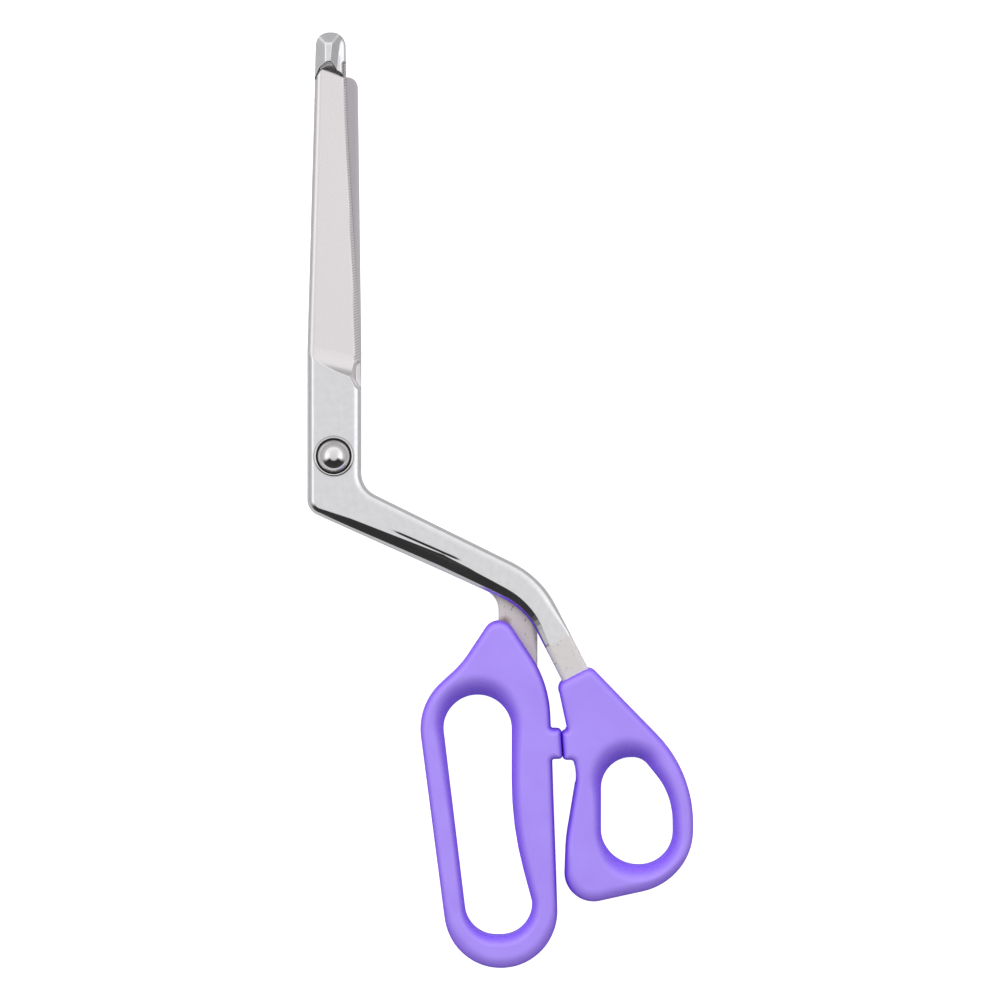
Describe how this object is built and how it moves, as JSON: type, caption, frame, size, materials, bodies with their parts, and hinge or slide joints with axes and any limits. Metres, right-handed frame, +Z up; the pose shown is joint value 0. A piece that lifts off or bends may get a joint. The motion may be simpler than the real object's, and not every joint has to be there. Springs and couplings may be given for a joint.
{
  "type": "fabric shears",
  "caption": "Offset-handle fabric shears: bead-tipped steel blades on a dome-headed pivot bolt, long bent arms, and moulded loop handles with stop lugs.",
  "frame": {"origin": "centre of the shut shears' outline, on the surface that they lie on", "axes": "+Y along the blades to the tip, +Z up from the surface, +X towards the thumb handle"},
  "size_m": [0.125, 0.3036, 0.015],
  "materials": {
    "polished_steel": "mirror-polished forging with a satin ground face",
    "ground_steel": "fine-ground matte inner faces",
    "bright_steel": "polished",
    "spring_steel": "plain",
    "handle_plastic": "moulded satin purple"
  },
  "bodies": {
    "rear_half": {"rear_blade": "ground_steel", "finger_handle": "handle_plastic", "pivot_bolt": "bright_steel", "head_washer": "bright_steel", "blade_washer": "ground_steel", "spring_washer": "spring_steel", "pivot_nut": "bright_steel"},
    "front_half": {"front_blade": "polished_steel", "thumb_handle": "handle_plastic"}
  },
  "joints": [
    {"name": "blade_pivot", "type": "hinge", "parent": "rear_half", "child": "front_half", "pos_m": [-0.05381, 0.01418, 0], "axis": [0, 0, 1], "range_deg": [0, 50]}
  ]
}
